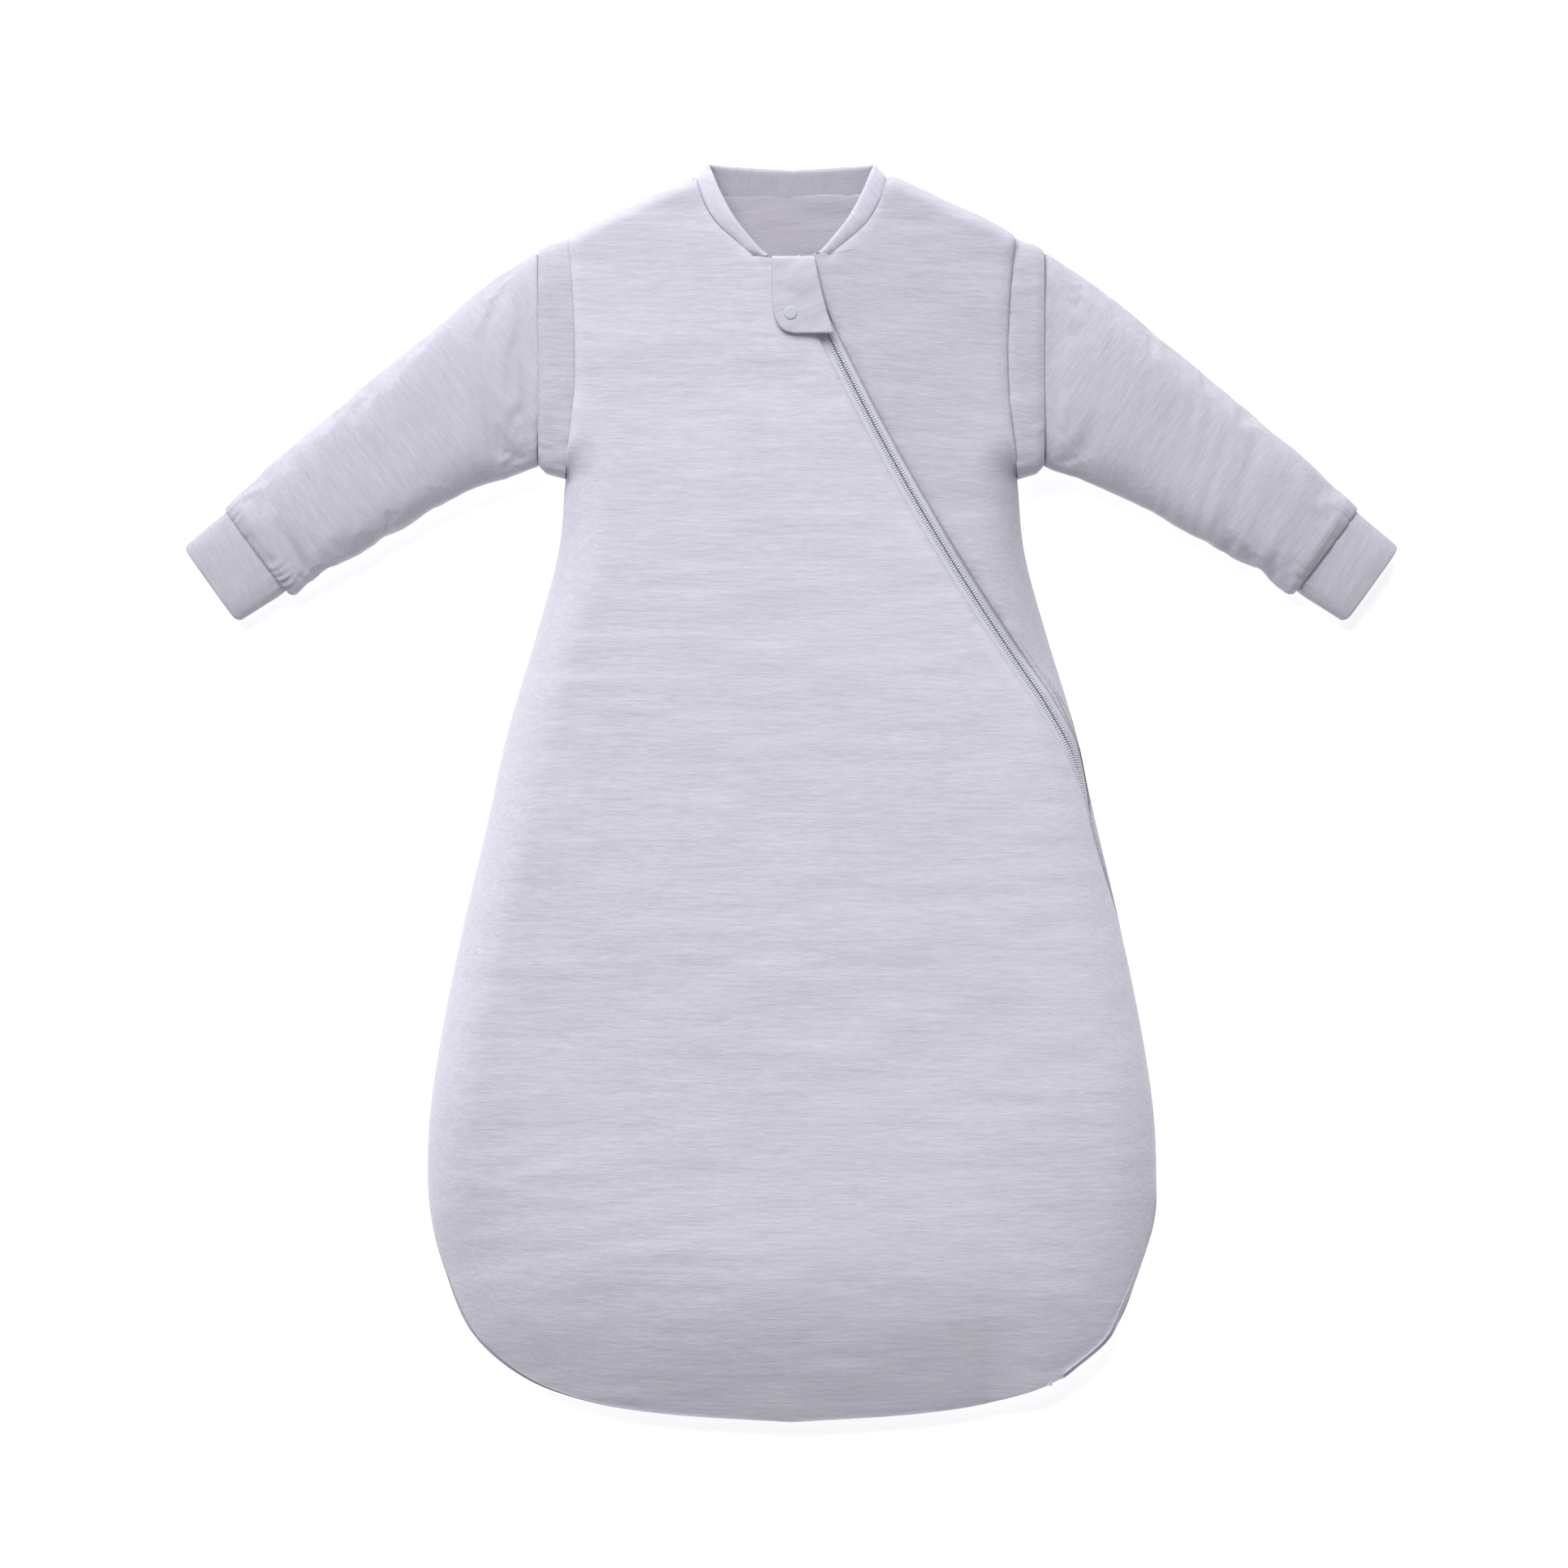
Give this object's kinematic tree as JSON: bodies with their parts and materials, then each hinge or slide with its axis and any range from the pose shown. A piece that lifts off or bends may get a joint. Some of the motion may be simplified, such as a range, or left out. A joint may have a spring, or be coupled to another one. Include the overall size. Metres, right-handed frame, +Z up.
{
  "type": "baby sleeping bag",
  "caption": "Padded jersey sleeping bag for a baby, pear-shaped, with long sleeves that come off, a slanting front zip, a snapped zip guard and a band collar.",
  "frame": {"origin": "middle of the underside of the whole object, on the surface it lies on", "axes": "+Z up out of the front of the bag, +Y towards the neck, +X towards the side that the zip runs to"},
  "size_m": [0.6714, 0.7, 0.0453],
  "materials": {
    "melange_jersey": "fine knitted melange jersey, pale lavender grey, matt with a soft bloom",
    "lining_jersey": "plain cotton jersey lining, matt",
    "wadding_fleece": "soft polyester fleece, hidden",
    "cuff_jersey": "smooth folded jersey, matt",
    "collar_rib": "fine vertical rib, matt",
    "guard_jersey": "doubled jersey, matt",
    "zip_tape_weave": "woven herringbone tape, matt",
    "coil_nylon": "moulded nylon coil, satin",
    "slider_enamel": "enamelled die cast slider, satin",
    "snap_cap_plastic": "moulded acetal, matt with a faint sheen",
    "stop_plastic": "moulded acetal, satin"
  },
  "bodies": {
    "bag": {"back_outer_shell": "melange_jersey", "back_wadding": "wadding_fleece", "back_lining": "lining_jersey", "front_main_shell": "melange_jersey", "front_main_wadding": "wadding_fleece", "front_main_lining": "lining_jersey", "front_side_shell": "melange_jersey", "front_side_wadding": "wadding_fleece", "front_side_lining": "lining_jersey", "collar_back": "collar_rib", "collar_left": "collar_rib", "collar_right": "collar_rib", "armhole_band_left": "melange_jersey", "armhole_band_right": "melange_jersey", "side_seam_left": "melange_jersey", "side_seam_right": "melange_jersey", "shoulder_seam_left": "melange_jersey", "shoulder_seam_right": "melange_jersey", "zip_tape_body": "zip_tape_weave", "zip_coil_body": "coil_nylon", "zip_tape_main": "zip_tape_weave", "zip_coil_main": "coil_nylon", "zip_top_stop_main": "stop_plastic", "zip_top_stop_side": "stop_plastic", "zip_bottom_stop": "stop_plastic", "snap_stud": "stop_plastic", "snap_stud_backing": "stop_plastic", "guard_anchor": "guard_jersey", "armhole_zip_coil_left": "coil_nylon", "armhole_zip_coil_right": "coil_nylon", "armhole_zip_slider_left": "slider_enamel", "armhole_zip_slider_right": "slider_enamel"},
    "front_flap": {"front_flap_shell": "melange_jersey", "front_flap_wadding": "wadding_fleece", "front_flap_lining": "lining_jersey", "zip_tape_flap": "zip_tape_weave", "zip_coil_flap": "coil_nylon"},
    "zip_guard": {"guard_outer": "guard_jersey", "guard_facing": "guard_jersey", "snap_cap": "snap_cap_plastic", "snap_socket": "stop_plastic"},
    "zip_slider": {"slider_body": "slider_enamel"},
    "zip_pull": {"zip_pull_tab": "slider_enamel"},
    "sleeve_left": {"sleeve_shell_left": "melange_jersey", "sleeve_wadding_left": "wadding_fleece", "sleeve_lining_left": "lining_jersey", "cuff_left": "cuff_jersey", "sleeve_zip_coil_left": "coil_nylon"},
    "sleeve_right": {"sleeve_shell_right": "melange_jersey", "sleeve_wadding_right": "wadding_fleece", "sleeve_lining_right": "lining_jersey", "cuff_right": "cuff_jersey", "sleeve_zip_coil_right": "coil_nylon"}
  },
  "joints": [
    {"name": "zip_slider_travel", "type": "hinge", "parent": "bag", "child": "zip_slider", "pos_m": [1.30481, 0.87588, 0.0371], "axis": [0, 0, 1], "range_deg": [0, 10.2]},
    {"name": "zip_guard_open", "type": "hinge", "parent": "bag", "child": "zip_guard", "pos_m": [0.0127, 0.297, 0.0434], "axis": [-0.249, 0.9685, 0], "range_deg": [0, 165]},
    {"name": "zip_pull_lift", "type": "hinge", "parent": "zip_slider", "child": "zip_pull", "pos_m": [0.00552, 0.28582, 0.0406], "axis": [-0.9101, -0.4144, 0], "range_deg": [0, 60]},
    {"name": "front_flap_fold", "type": "hinge", "parent": "bag", "child": "front_flap", "pos_m": [0.02289, 0.24897, 0.0402], "axis": [0.211, -0.9775, 0], "range_deg": [0, 155]},
    {"name": "sleeve_left_detach", "type": "slide", "parent": "bag", "child": "sleeve_left", "axis": [-1, 0, 0], "range_m": [0, 0.06]},
    {"name": "sleeve_right_detach", "type": "slide", "parent": "bag", "child": "sleeve_right", "axis": [1, 0, 0], "range_m": [0, 0.06]}
  ],
  "couplings": [
    {"joint": "zip_pull_lift", "follows": "zip_guard_open", "ratio": 0.35}
  ]
}
